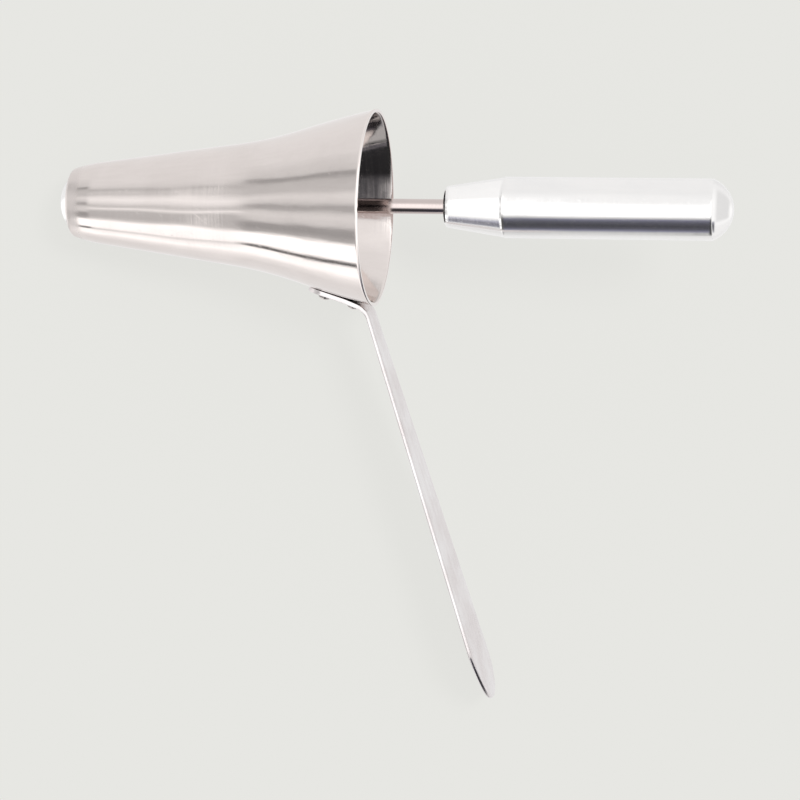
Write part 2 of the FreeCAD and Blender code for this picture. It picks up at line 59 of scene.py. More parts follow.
MM_PER_METRE = 1000

# The pale floor and the light on it
FLOOR_COLOUR = (0.799, 0.799, 0.768)
FLOOR_SIZE = 6.0
SHADOW_SHARE = 0.13
WORLD_SHARE = 0.75
SUN_SHARE = 0.25
SUN_ANGLE = 18
SUN_FROM = Vector((0.45, 0.3, 1.0))


class Tree:
    """Adds nodes to a node tree; an input given as a socket is linked, any other is set."""

    def __init__(self, tree):
        self.tree = tree
        tree.nodes.clear()

    def add(self, kind, inputs=(), **settings):
        node = self.tree.nodes.new(kind)
        for name, value in settings.items():
            setattr(node, name, value)
        for name, value in dict(inputs).items():
            self.feed(node.inputs[name], value)
        return node

    def feed(self, socket, value):
        if isinstance(value, bpy.types.NodeSocket):
            self.tree.links.new(value, socket)
        else:
            socket.default_value = value

    def math(self, operation, *values, clamp=False):
        node = self.add("ShaderNodeMath", dict(enumerate(values)), operation=operation, use_clamp=clamp)
        return node.outputs[0]

    def scaled(self, vector, scale):
        node = self.add("ShaderNodeVectorMath", {0: vector, 1: scale}, operation="MULTIPLY")
        return node.outputs[0]

    def dot(self, vector, other):
        node = self.add("ShaderNodeVectorMath", {0: vector, 1: other}, operation="DOT_PRODUCT")
        return node.outputs["Value"]

    def noise(self, vector, scale, detail=3.0, roughness=0.55):
        """Noise on a vector scaled by three numbers, which stretch it into lines."""
        stretched = self.scaled(vector, scale)
        inputs = {"Vector": stretched, "Scale": 1.0, "Detail": detail, "Roughness": roughness}
        return self.add("ShaderNodeTexNoise", inputs).outputs[0]

    def spread(self, value, low, high, out_low=0.0, out_high=1.0):
        inputs = {"Value": value, "From Min": low, "From Max": high, "To Min": out_low, "To Max": out_high}
        node = self.add("ShaderNodeMapRange", inputs, interpolation_type="SMOOTHSTEP")
        return node.outputs[0]

    def blend(self, share, first, second):
        """Mixes two colours, the node's inputs 6 and 7."""
        node = self.add("ShaderNodeMix", data_type="RGBA")
        self.feed(node.inputs[0], share)
        self.feed(node.inputs[6], first)
        self.feed(node.inputs[7], second)
        return node.outputs[2]

    def mix(self, share, first, second):
        """Mixes two shaders."""
        inputs = {0: share, 1: first.outputs[0], 2: second.outputs[0]}
        return self.add("ShaderNodeMixShader", inputs)

    def ramp(self, value, stops):
        """A ramp over value, from pairs of place and colour."""
        node = self.add("ShaderNodeValToRGB", {"Fac": value})
        elements = node.color_ramp.elements
        elements[0].color = (*stops[0][1], 1.0)
        elements[1].color = (*stops[-1][1], 1.0)
        for place, colour in stops[1:-1]:
            elements.new(place).color = (*colour, 1.0)
        return node.outputs["Color"]


def instrument_place(tree):
    """The point of the surface in the instrument's own frame, in metres."""
    turn = Matrix((ALONG, ACROSS, ABOVE)).transposed().to_euler()
    where = tree.add("ShaderNodeTexCoord").outputs["Object"]
    inputs = {"Vector": where, "Location": TIP, "Rotation": turn}
    return tree.add("ShaderNodeMapping", inputs, vector_type="TEXTURE").outputs[0]


# What the metals share: broad stains, and stray scratches across the lines. A pair of limits says
# between which values of its noise each one comes in
FINE_LIMITS = (0.3, 0.7)
STAIN_SCALE = (55.0, 55.0, 55.0)
STAIN_DULL_LIMITS = (0.45, 0.75)
STAIN_DULLING = 0.06
STAIN_LIMITS = (0.35, 0.65)
STAIN_SHARE = 0.7
STREAK_LIMITS = (0.4, 0.7)
STREAK_SHARE = 0.3
SCRATCH_SCALE = (90.0, 2600.0, 2600.0)
SCRATCH_TURN = 0.6
SCRATCH_LIMITS = (0.70, 0.76)
SCRATCH_DULLING = 0.2

# Under full painted shade a shaded metal keeps this share of its tint, and wear adds this much to its
# roughness
SHADED = 0.12
WORN = 0.24


def metal(name, colour, tint, roughness, lines, wave, streaks=(14.0, 700.0, 700.0), *, depths,
          scratches=0.5, metallic=1.0, shaded=False):
    """A polished metal: fine lines, slow waves in the polish, streaks, stains, and stray scratches.

    colour and tint are mixed by broad stains; roughness is a pair of numbers; lines, wave and streaks are
    the scales of the three textures along the instrument's axes, in cycles to the metre, and depths are
    their heights in metres. A shaded metal gets painted shade, darker where the mesh's shade is high, and
    is duller where its wear is.
    """
    material = bpy.data.materials.new(name)
    material.use_nodes = True
    tree = Tree(material.node_tree)
    place = instrument_place(tree)
    fine = tree.noise(place, lines, detail=4.0, roughness=0.65)
    waves = tree.noise(place, wave, detail=2.0)
    long_streaks = tree.noise(place, streaks, detail=3.0, roughness=0.6)
    stains = tree.noise(place, STAIN_SCALE, detail=5.0, roughness=0.6)
    turned = tree.add("ShaderNodeVectorRotate", {"Vector": place, "Angle": SCRATCH_TURN}).outputs[0]
    stray = tree.noise(turned, SCRATCH_SCALE, detail=1.0)
    scratch = tree.math("MULTIPLY", tree.spread(stray, *SCRATCH_LIMITS), scratches)
    rough = tree.spread(fine, *FINE_LIMITS, *roughness)
    dulling = tree.spread(stains, *STAIN_DULL_LIMITS, 0.0, STAIN_DULLING)
    rough = tree.math("ADD", rough, dulling)
    rough = tree.math("ADD", rough, tree.math("MULTIPLY", scratch, SCRATCH_DULLING))
    stained = tree.spread(stains, *STAIN_LIMITS, 0.0, STAIN_SHARE)
    streaked = tree.spread(long_streaks, *STREAK_LIMITS, 0.0, STREAK_SHARE)
    stained = tree.math("ADD", stained, streaked)
    paint = tree.blend(stained, (*colour, 1.0), (*tint, 1.0))
    if shaded:
        wear = tree.add("ShaderNodeAttribute", attribute_name="wear").outputs["Fac"]
        rough = tree.math("ADD", rough, tree.math("MULTIPLY", wear, WORN))
        # Painted shade: the mesh's shade attribute darkens the colour towards a share of the tint
        shade = tree.add("ShaderNodeAttribute", attribute_name="shade").outputs["Fac"]
        paint = tree.blend(shade, paint, (*(part * SHADED for part in tint), 1.0))
    normal = None
    grooves = tree.math("SUBTRACT", fine, scratch)
    for height, depth in ((waves, depths[1]), (long_streaks, depths[2]), (grooves, depths[0])):
        inputs = {"Height": height, "Strength": 1.0, "Distance": depth}
        if normal:
            inputs["Normal"] = normal
        normal = tree.add("ShaderNodeBump", inputs).outputs[0]
    shader = tree.add("ShaderNodeBsdfPrincipled", {
        "Base Color": paint, "Metallic": metallic, "Roughness": rough, "Normal": normal,
    })
    tree.add("ShaderNodeOutputMaterial", {"Surface": shader.outputs[0]})
    return material


# The colours of the metals, each with the tint of its stains
STEEL = (0.78, 0.72, 0.695)
STEEL_TINT = (0.74, 0.68, 0.655)
BLADE = (0.79, 0.765, 0.765)
BLADE_TINT = (0.67, 0.615, 0.61)
ROD = (0.62, 0.545, 0.525)
ROD_TINT = (0.58, 0.51, 0.495)
ALUMINIUM = (0.90, 0.885, 0.875)
ALUMINIUM_TINT = (0.865, 0.855, 0.85)
MATERIALS = {
    "speculum_tube": metal("tube_steel", STEEL, STEEL_TINT, (0.05, 0.10), (1400.0, 22.0, 22.0),
                           (24.0, 110.0, 110.0), depths=(5e-6, 9e-5, 9e-6), shaded=True),
    "handle_blade": metal("blade_steel", BLADE, BLADE_TINT, (0.16, 0.26), (700.0, 700.0, 2500.0),
                          (10.0, 30.0, 160.0), (12.0, 8.0, 260.0), depths=(3e-6, 3e-5, 1.5e-5)),
    "front_rivet": metal("front_rivet_steel", STEEL, STEEL_TINT, (0.12, 0.24), (900.0, 900.0, 900.0),
                         (500.0, 500.0, 500.0), depths=(1e-5, 1.6e-4, 0.0), shaded=True),
    "obturator_nose": metal("nose_metal", ALUMINIUM, ALUMINIUM_TINT, (0.08, 0.16), (1400.0, 20.0, 20.0),
                            (60.0, 60.0, 60.0), depths=(5e-6, 3e-5, 2e-6)),
    "obturator_rod": metal("rod_steel", ROD, ROD_TINT, (0.04, 0.09), (1600.0, 30.0, 30.0),
                           (10.0, 200.0, 200.0), depths=(3e-6, 8e-6, 1e-6), scratches=0.3),
    "obturator_grip": metal("grip_aluminium", ALUMINIUM, ALUMINIUM_TINT, (0.06, 0.14), (1500.0, 14.0, 14.0),
                            (45.0, 110.0, 110.0), (40.0, 420.0, 420.0), depths=(6e-6, 5e-5, 6e-6),
                            scratches=0.6, metallic=0.95),
}
MATERIALS["rear_rivet"] = MATERIALS["front_rivet"]

# The curve of the tube, in millimetres from the tip's face and from the axis
SHOULDER = Vector((1.7, 9.9))
SHOULDER_RADIUS = 1.7
TIP_RADIUS = 45.0
TIP_END = 10.0
TAPER = math.radians(8.1)
FLARE_START = 55.7
FLARE_END = 78.8
FLARE_RADIUS = 137.0
MOUTH_RADIUS = 314.0
LENGTH = 103.2
WALL = 1.0
OPENING = 9.4

# How finely its arcs and its taper are divided
SHOULDER_STEPS = 10
TIP_STEPS = 12
TAPER_STEPS = 46
FLARE_STEPS = 24
MOUTH_STEPS = 24


def on_circle(centre, radius, slope):
    """The point of a circle where its upper side has the given slope."""
    return centre + Vector((-math.sin(slope), math.cos(slope))) * radius


BETWEEN = TIP_RADIUS - SHOULDER_RADIUS
TIP_X = TIP_END + TIP_RADIUS * math.sin(TAPER)
SHOULDER_SLOPE = math.asin((TIP_X - SHOULDER.x) / BETWEEN)
TIP_CENTRE = Vector((TIP_X, SHOULDER.y - BETWEEN * math.cos(SHOULDER_SLOPE)))
TAPER_START = on_circle(TIP_CENTRE, TIP_RADIUS, TAPER)
TAPER_RUN = FLARE_START - TIP_END
TAPER_STOP = TAPER_START + Vector((TAPER_RUN, TAPER_RUN * math.tan(TAPER)))
FLARE_CENTRE = on_circle(TAPER_STOP, FLARE_RADIUS, TAPER)
FLARE_SLOPE = math.asin(math.sin(TAPER) + (FLARE_END - FLARE_START) / FLARE_RADIUS)
TURNING = on_circle(FLARE_CENTRE, -FLARE_RADIUS, FLARE_SLOPE)
MOUTH_CENTRE = on_circle(TURNING, -MOUTH_RADIUS, FLARE_SLOPE)


def arc(centre, radius, first, last, steps):
    """Points of an arc between two slopes."""
    return [on_circle(centre, radius, first + (last - first) * step / steps) for step in range(steps + 1)]


def line(first, last, steps):
    """Points between two places, without the last one."""
    return [first + (last - first) * step / steps for step in range(steps)]


def tube_curve(depth, length=LENGTH):
    """The tube's curve at a depth below the outer surface, from the tip's face to a station."""
    points = arc(SHOULDER, SHOULDER_RADIUS - depth, math.pi / 2, SHOULDER_SLOPE, SHOULDER_STEPS)
    points += arc(TIP_CENTRE, TIP_RADIUS - depth, SHOULDER_SLOPE, TAPER, TIP_STEPS)[1:]
    flare = arc(FLARE_CENTRE, -FLARE_RADIUS - depth, TAPER, FLARE_SLOPE, FLARE_STEPS)
    points += line(points[-1], flare[0], TAPER_STEPS)[1:]
    last = math.asin((MOUTH_CENTRE.x - LENGTH) / (MOUTH_RADIUS - depth))
    points += flare + arc(MOUTH_CENTRE, MOUTH_RADIUS - depth, FLARE_SLOPE, last, MOUTH_STEPS)[1:]
    kept = [point for point in points if point.x < length]
    if length < LENGTH:
        before, after = points[len(kept) - 1], points[len(kept)]
        kept.append(before.lerp(after, (length - before.x) / (after.x - before.x)))
    else:
        kept.append(points[-1])
    return kept


def eased(before, corner, after, radius, steps=4):
    """A rounded corner between two directions, as points on a smooth curve."""
    start = corner + (before - corner).normalized() * radius
    end = corner + (after - corner).normalized() * radius
    points = []
    for step in range(steps + 1):
        share = step / steps
        points.append(start.lerp(corner, share).lerp(corner.lerp(end, share), share))
    return points


def outline(runs, rounding, closed):
    """Joins runs of points into one outline, with each join rounded."""
    points = []
    count = len(runs)
    for place, run in enumerate(runs):
        points += run[1:-1]
        if closed or place < count - 1:
            after = runs[(place + 1) % count]
            points += eased(run[-2], run[-1], after[1], rounding)
    if not closed:
        points = [runs[0][0]] + points + [runs[-1][-1]]
    return points


def straight(*corners, step=1.5):
    """Runs between corners, each one cut into short pieces."""
    runs = []
    for first, last in zip(corners, corners[1:]):
        first, last = Vector(first), Vector(last)
        pieces = max(2, round((last - first).length / step))
        runs.append(line(first, last, pieces) + [last])
    return runs


# A lathed piece has AROUND points to a ring; a radius under ON_AXIS counts as a point of the axis
AROUND = 256
ON_AXIS = 0.001

# The obturator leans a little in the tube, about a point near the tip
LEAN = math.radians(0.32)
LEAN_POINT = 4.0


def frame_point(along, across, above, leaning):
    """A point in millimetres on the instrument, in the row's frame in metres."""
    if leaning:
        offset = along - LEAN_POINT
        along = LEAN_POINT + offset * math.cos(LEAN) - across * math.sin(LEAN)
        across = offset * math.sin(LEAN) + across * math.cos(LEAN)
    return TIP + (ALONG * along + ACROSS * across + ABOVE * above) / MM_PER_METRE


def lathed(name, points, place, body, material, closed=False, around=AROUND):
    """Turns an outline into a smooth mesh; place puts (along, radius, angle) in the row's frame."""
    vertices = []
    rings = []
    for along, radius in points:
        if radius < ON_AXIS:
            rings.append([len(vertices)])
            vertices.append(place(along, 0.0, 0.0))
            continue
        rings.append(list(range(len(vertices), len(vertices) + around)))
        vertices += [place(along, radius, math.tau * step / around) for step in range(around)]
    faces = []
    pairs = list(zip(rings, rings[1:]))
    if closed:
        pairs.append((rings[-1], rings[0]))
    for first, second in pairs:
        for step in range(around):
            after = (step + 1) % around
            if len(first) == 1:
                faces.append((first[0], second[step], second[after]))
            elif len(second) == 1:
                faces.append((first[step], second[0], first[after]))
            else:
                faces.append((first[step], second[step], second[after], first[after]))
    mesh = bpy.data.meshes.new(name)
    mesh.from_pydata(vertices, [], faces)
    mesh.materials.append(material)
    mesh.shade_smooth()
    form = bmesh.new()
    form.from_mesh(mesh)
    bmesh.ops.recalc_face_normals(form, faces=form.faces)
    form.to_mesh(mesh)
    form.free()
    piece = bpy.data.objects.new(name, mesh)
    scene.collection.objects.link(piece)
    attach(piece, body)
    return piece


# The unevenness of hand-polished sheet, in millimetres, faded out at the tip and the mouth; each wave has
# its share, its count round the tube, its turn along it and its start
SWELL = 0.03
WAVES = ((1.0, 3, 0.05, 0.0), (0.6, 7, -0.11, 1.3), (0.5, 11, 0.17, 0.4))
SWELL_START = 8.0
SWELL_RISE = 20.0
SWELL_FALL = 12.0

# SKIN keeps the swelling inside the solid's box; ROLL is how far the instrument lies turned, in degrees
SKIN = 0.01
ROLL = 9.87

# Shallow dents of the spinning tool: station, bearing in degrees, half length, half width, depth
DENTS = ((53.0, -20.0, 9.0, 9.0, 0.09), (60.0, -2.0, 7.0, 8.0, -0.05), (24.0, 4.0, 10.0, 9.0, 0.03),
         (92.0, -12.0, 8.0, 7.0, 0.06), (70.0, 15.0, 9.0, 7.0, 0.04), (36.0, -44.0, 9.0, 9.0, -0.04))


def tube_place(along, radius, angle):
    """A point of the tube, which swells and sinks by hundredths of a millimetre.

    angle is measured from the side away from the handle; a dent's bearing from straight above.
    """
    swell = 0.0
    for share, count, turn, start in WAVES:
        swell += share * math.sin(count * angle + along * turn + start)
    rise = max(0.0, (along - SWELL_START) / SWELL_RISE)
    fall = max(0.0, (LENGTH - along) / SWELL_FALL)
    fade = min(1.0, rise, fall)
    radius += SWELL * swell * fade - SKIN
    bearing = 90 - math.degrees(angle)
    bearing = (bearing - ROLL + 180) % 360 - 180
    for station, middle, long, wide, depth in DENTS:
        off = ((along - station) / long) ** 2 + ((bearing - middle) / wide) ** 2
        radius -= depth * math.exp(-off)
    return frame_point(along, radius * math.cos(angle), radius * math.sin(angle), False)


def obturator_place(along, radius, angle):
    return frame_point(along, radius * math.cos(angle), radius * math.sin(angle), True)


# The rounding of the tube's corners and the pieces that short faces are cut into, in millimetres
TUBE_ROUNDING = 0.13
FACE_STEP = 0.3


def tube_outline():
    outer = tube_curve(0.0)
    inner = tube_curve(WALL)
    face = straight((0.0, OPENING), (0.0, SHOULDER.y), step=FACE_STEP)[0]
    inside = straight((WALL, SHOULDER.y), (WALL, OPENING), step=FACE_STEP)[0]
    lip = straight((WALL, OPENING), (0.0, OPENING), step=FACE_STEP)[0]
    rim = straight(tuple(outer[-1]), tuple(inner[-1]), step=FACE_STEP)[0]
    return outline([face[:-1] + outer, rim, inner[::-1] + inside[1:], lip], TUBE_ROUNDING, True)


tube = lathed("bell", tube_outline(), tube_place, "speculum", MATERIALS["speculum_tube"],
              closed=True)
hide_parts("speculum_tube")

# Painted shade darkens the inside on its upper side and deep in the tube; the tip's edge is
# worn. Each pair says where, in millimetres, the change begins and ends: up from the axis for OVERHEAD,
# and along the tube for the others
OVERHEAD = (-2, 6)
LIP = (99.5, 101.5)
DEEP = (80, 92)
WORN_TIP = (3.0, 6.5)
DEEP_SHADE = 0.6
SKYWARD = Vector((-ALONG.z, 0.0, ALONG.x))


def eased_share(value, low, high):
    """How far value is from low to high, from 0 to 1, eased at both ends."""
    share = min(1.0, max(0.0, (value - low) / (high - low)))
    return share * share * (3 - 2 * share)


# The shade attribute holds the painted shade of the inner wall; wear only roughens the tip's edge
shade = tube.data.attributes.new("shade", "FLOAT", "POINT")
wear = tube.data.attributes.new("wear", "FLOAT", "POINT")
for vertex in tube.data.vertices:
    offset = (vertex.co - TIP) * MM_PER_METRE
    along = offset.dot(ALONG)
    inward = (offset - ALONG * along).dot(vertex.normal) < 0
    if inward:
        overhead = eased_share(offset.dot(SKYWARD), *OVERHEAD) * (1 - eased_share(along, *LIP))
        deep = 1 - eased_share(along, *DEEP)
        shade.data[vertex.index].value = max(overhead, DEEP_SHADE * deep)
    wear.data[vertex.index].value = 0.0 if inward else 1 - eased_share(along, *WORN_TIP)

# The obturator's nose, in millimetres; its gap is the wall and the clearance
NOSE_GAP = 1.25
NOSE_FRONT = 9.15
NOSE_DOME = 3.99
NOSE_LENGTH = 30.0
BORE = 2.53
NOSE_BORE_START = 15.0
NOSE_ROUNDING = 0.12
SHELF_STEP = 0.2
NOSE_STEPS = 16


def cap(edge_x, edge_radius, top_x, steps):
    """A dome's points from the axis to its edge."""
    height = abs(edge_x - top_x)
    radius = (height ** 2 + edge_radius ** 2) / (2 * height)
    side = 1 if edge_x > top_x else -1
    centre = top_x + side * radius
    last = math.asin(edge_radius / radius)
    points = []
    for step in range(steps + 1):
        turn = last * step / steps
        points.append(Vector((centre - side * radius * math.cos(turn), radius * math.sin(turn))))
    points[0].y = 0.0
    return points


def nose_outline():
    dome = cap(0.0, NOSE_FRONT, -NOSE_DOME, NOSE_STEPS)
    curve = tube_curve(NOSE_GAP, NOSE_LENGTH)
    neck = straight((0.0, NOSE_FRONT), (NOSE_GAP, NOSE_FRONT), step=FACE_STEP)[0]
    shelf = straight((NOSE_GAP, NOSE_FRONT), (NOSE_GAP, SHOULDER.y), step=SHELF_STEP)[0]
    back = straight(tuple(curve[-1]), (NOSE_LENGTH, BORE), (NOSE_BORE_START, BORE), (NOSE_BORE_START, 0.0))
    return outline([dome, neck, shelf[:-1] + curve, *back], NOSE_ROUNDING, False)


nose = lathed("nose_plug", nose_outline(), obturator_place, "obturator", MATERIALS["obturator_nose"])
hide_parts("obturator_nose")

# The rod
ROD_START = 15.2
ROD_END = 146.3
ROD_RADIUS = 2.5
ROD_CHAMFER = 0.4
ROD_ROUNDING = 0.08
ROD_AROUND = 96
rod_side = ROD_RADIUS - ROD_CHAMFER
rod_runs = straight((ROD_START, 0.0), (ROD_START, rod_side), (ROD_START + ROD_CHAMFER, ROD_RADIUS),
                    (ROD_END - ROD_CHAMFER, ROD_RADIUS), (ROD_END, rod_side), (ROD_END, 0.0))
rod = lathed("slide_rod", outline(rod_runs, ROD_ROUNDING, False), obturator_place, "obturator",
             MATERIALS["obturator_rod"], around=ROD_AROUND)
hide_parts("obturator_rod")

# The turned grip, its crease between taper and cylinder, and its dome
GRIP_START = 126.5
GRIP_BORE_END = 146.5
GRIP_FRONT = 6.85
GRIP_EDGE = 1.2
GRIP_CREASE = 146.2
GRIP_RADIUS = 10.0
GRIP_NECK = 9.8
GRIP_DOME_START = 214.2
GRIP_DOME_EDGE = 9.88
GRIP_END = 220.68
GRIP_ROUNDING = 0.06
GRIP_EDGE_STEPS = 8
GRIP_DOME_STEPS = 24
GRIP_FRONT_STEP = 0.6
GRIP_SIDE_STEP = 1.0


def grip_outline():
    edge_centre = Vector((GRIP_START + GRIP_EDGE, GRIP_FRONT - GRIP_EDGE))
    taper = math.atan2(GRIP_NECK - GRIP_FRONT, GRIP_CREASE - GRIP_START)
    edge = arc(edge_centre, GRIP_EDGE, math.pi / 2, taper, GRIP_EDGE_STEPS)
    bore = straight((GRIP_BORE_END, 0.0), (GRIP_BORE_END, BORE), (GRIP_START, BORE))
    front = straight((GRIP_START, BORE), tuple(edge[0]), step=GRIP_FRONT_STEP)[0]
    sides = straight(tuple(edge[-1]), (GRIP_CREASE, GRIP_NECK), (GRIP_CREASE, GRIP_RADIUS),
                     (GRIP_DOME_START, GRIP_RADIUS), (GRIP_DOME_START, GRIP_DOME_EDGE),
                     step=GRIP_SIDE_STEP)
    dome = cap(GRIP_DOME_START, GRIP_DOME_EDGE, GRIP_END, GRIP_DOME_STEPS)[::-1]
    return outline([*bore, front[:-1] + edge[:-1] + sides[0], *sides[1:], dome], GRIP_ROUNDING, False)


grip = lathed("turned_grip", grip_outline(), obturator_place, "obturator", MATERIALS["obturator_grip"])
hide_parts("obturator_grip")

# The handle: one strip with rounded edges, bent between foot and arm
FOOT_SETBACK = 20.1
FOOT_GAP = 0.02
FOOT_LEAD = 2.5
FOOT_RUN = 15.2
THICKNESS = 1.5
BLADE_WIDTH = 11.8
BEND = math.radians(55.3)
BEND_OUTSIDE = 6.7
ARM_LENGTH = 135.3
ARM_END = 13.2

# Its edges are rounded, less so on the foot until ROUNDING_LEAD before its end
EDGE_ROUNDING = 0.54
FOOT_ROUNDING = 0.14
ROUNDING_LEAD = 2.0

# The foot takes this share of the tube's roundness, which fades out between two places along it
FOOT_DISH = 0.6
DISH_FADE = (9.5, FOOT_RUN + 1.5)

# The blunt point of the arm's upper side: its length, and the angle at which its curve starts
POINT_LENGTH = 18.0
POINT_TURN = math.radians(28)

# Where the foot touches the tube, and where the bend ends
FOOT_X = LENGTH - FOOT_SETBACK
FOOT_SLOPE = math.asin((MOUTH_CENTRE.x - FOOT_X) / MOUTH_RADIUS)
FOOT_RADIUS = on_circle(MOUTH_CENTRE, MOUTH_RADIUS, FOOT_SLOPE).y
BEND_LENGTH = BEND_OUTSIDE * BEND
ARM_START = FOOT_RUN + BEND_LENGTH

# A face's last ring lies FACE_INSET roundings in from the edge; the rest says how finely the strip's
# side and its rounded edge are divided
FACE_INSET = 1.5
FRONT_STEPS = 16
FOOT_STEPS = 8
BEND_STEPS = 20
ARM_STEPS = 40
EDGE_STEPS = 6


def rounding_at(reach):
    """The strip's edge is sharper at the foot than on the arm."""
    share = eased_share(reach, FOOT_RUN - ROUNDING_LEAD, ARM_START)
    return FOOT_ROUNDING + (EDGE_ROUNDING - FOOT_ROUNDING) * share


def on_foot(forward, inward, above):
    """A point given from where the foot touches the tube."""
    along = FOOT_X + forward * math.cos(FOOT_SLOPE) + inward * math.sin(FOOT_SLOPE)
    across = -FOOT_RADIUS - forward * math.sin(FOOT_SLOPE) + inward * math.cos(FOOT_SLOPE)
    return frame_point(along, across, above, False)


def on_strip(reach, side, depth):
    """A point of the strip: reach along it, side across it, depth below the face towards the tube.

    The foot is slightly dished, to lie closer to the tube.
    """
    past = reach - FOOT_RUN
    turn = min(BEND, max(0.0, past / BEND_OUTSIDE))
    arm = max(0.0, reach - ARM_START)
    forward = min(reach, FOOT_RUN) + math.sin(turn) * (BEND_OUTSIDE - depth) + math.cos(turn) * arm
    inward = math.cos(turn) * (BEND_OUTSIDE - depth) - BEND_OUTSIDE - math.sin(turn) * arm
    hollow = FOOT_DISH * (1 - eased_share(reach, *DISH_FADE))
    inward += hollow * side ** 2 / (2 * FOOT_RADIUS)
    return on_foot(forward, inward - FOOT_GAP, side)


def strip_side(upper):
    """One side of the strip laid flat, from the foot's front to the arm's end, with its outward normals.

    The end was cut by hand: its upper side runs to a blunt point, and its lower side is round.
    """
    half = BLADE_WIDTH / 2
    places = []
    for step in range(FRONT_STEPS + 1):
        turn = math.pi / 2 * step / FRONT_STEPS
        sine, cosine = math.sin(turn), math.cos(turn)
        places.append((half - FOOT_LEAD - half * cosine, half * sine, -cosine, sine))
    for step in range(1, FOOT_STEPS + 1):
        reach = half - FOOT_LEAD + (FOOT_RUN - half + FOOT_LEAD) * step / FOOT_STEPS
        places.append((reach, half, 0.0, 1.0))
    for step in range(1, BEND_STEPS + 1):
        places.append((FOOT_RUN + BEND_LENGTH * step / BEND_STEPS, half, 0.0, 1.0))
    centre = ARM_LENGTH - ARM_END
    widening = math.asin((ARM_END - half) / centre)
    tangent = Vector((centre - ARM_END * math.sin(widening), ARM_END * math.cos(widening)))
    if upper:
        tangent.y = half + (ARM_LENGTH - POINT_LENGTH) * math.tan(widening)
        tangent.x = ARM_LENGTH - POINT_LENGTH
    for step in range(1, ARM_STEPS + 1):
        share = step / ARM_STEPS
        reach = ARM_START + tangent.x * share
        places.append((reach, half + (tangent.y - half) * share, -math.sin(widening), math.cos(widening)))
    first = POINT_TURN if upper else -widening
    long = POINT_LENGTH / (1 - math.sin(POINT_TURN)) if upper else ARM_END
    wide = tangent.y / math.cos(first)
    for step in range(1, ARM_STEPS + 1):
        turn = first + (math.pi / 2 - first) * step / ARM_STEPS
        sine, cosine = math.sin(turn), math.cos(turn)
        out = Vector((wide * sine, long * cosine)).normalized()
        places.append((ARM_START + ARM_LENGTH - long * (1 - sine), wide * cosine, out.x, out.y))
    return places


def blade_mesh():
    """The strip as rings of its outline, from one face over the rounded edge to the other."""
    sides = (strip_side(True), strip_side(False))
    levels = [(FACE_INSET, 0.0, 0.0)]
    for step in range(EDGE_STEPS + 1):
        turn = math.pi / 2 * step / EDGE_STEPS
        levels.append((1 - math.sin(turn), 1 - math.cos(turn), 0.0))
    levels += [(inset, -depth, THICKNESS) for inset, depth, start in levels[::-1]]
    count = len(sides[0])
    loop = 2 * count - 2
    form = bmesh.new()
    rings = []
    for inset, depth, start in levels:
        halves = []
        for side, sign in zip(sides, (1, -1)):
            flat = []
            for reach, width, out, over in side:
                rounding = rounding_at(reach)
                level = start + depth * rounding
                inset_by = inset * rounding
                flat.append((reach - inset_by * out, sign * (width - inset_by * over), level))
            flat[0] = (flat[0][0], 0.0, flat[0][2])
            flat[-1] = (flat[-1][0], 0.0, flat[-1][2])
            halves.append(flat)
        flat = halves[0] + halves[1][-2:0:-1]
        rings.append([form.verts.new(on_strip(*place)) for place in flat])
    for first, second in zip(rings, rings[1:]):
        for step in range(loop):
            after = (step + 1) % loop
            form.faces.new((first[step], first[after], second[after], second[step]))
    for ring in (rings[0], rings[-1]):
        for step in range(count - 1):
            corners = [ring[step], ring[step + 1], ring[-step - 1], ring[-step % loop]]
            form.faces.new(list(dict.fromkeys(corners)))
    bmesh.ops.recalc_face_normals(form, faces=form.faces)
    mesh = bpy.data.meshes.new("bent_strip")
    form.to_mesh(mesh)
    form.free()
    return mesh


strip = blade_mesh()
strip.materials.append(MATERIALS["handle_blade"])
strip.shade_smooth()
blade = bpy.data.objects.new("bent_strip", strip)
scene.collection.objects.link(blade)
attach(blade, "speculum")
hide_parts("handle_blade")

# The rivets: low domed heads, a little uneven as closed by hand
SHANK = 1.2
HEAD = 2.2
HEAD_HEIGHT = 1.8
BUTTON = 1.9
BUTTON_HEIGHT = 0.8
BUTTON_GAP = 0.17
RIVET_ROUNDING = 0.15
RIVET_STEP = 0.4
HEAD_STEPS = 10
BUTTON_STEPS = 8
RIVET_AROUND = 64

# How a rivet is out of round: each wave's share, its count and how much of the rivet's start it takes
BEATING = ((0.05, 2, 1), (0.035, 5, 2))

# Each rivet's node, place along the foot and the start of its unevenness
RIVETS = (("front_rivet", 3.2, 0.7), ("rear_rivet", 13.4, 2.9))

# Painted shade sits in the crevice under a head and thins out as the head rises and towards its
# middle; the limits are in millimetres
CREVICE = (0.1, 0.7)
HEAD_EDGE = (1.3, 2.0)
EDGE_SHADE = 0.7


def rivet_outline(station):
    inside = MOUTH_RADIUS - WALL
    sag = MOUTH_RADIUS - math.sqrt(inside ** 2 - station ** 2)
    held = THICKNESS + FOOT_GAP + sag + BUTTON_GAP
    head = cap(0.0, HEAD, -HEAD_HEIGHT, HEAD_STEPS)
    shank = straight((0.0, HEAD), (0.0, SHANK), (held, SHANK), (held, BUTTON), step=RIVET_STEP)
    button = cap(held, BUTTON, held + BUTTON_HEIGHT, BUTTON_STEPS)[::-1]
    return outline([head, *shank, button], RIVET_ROUNDING, False)


def rivet_place(station, seed):
    """Puts a rivet's point on the foot, with its head beaten slightly out of round."""
    def place(along, radius, angle):
        dent = 1
        for share, count, start in BEATING:
            dent += share * math.sin(count * angle + start * seed)
        forward = station + radius * dent * math.cos(angle)
        return on_foot(forward, along - THICKNESS - FOOT_GAP, radius * dent * math.sin(angle))
    return place


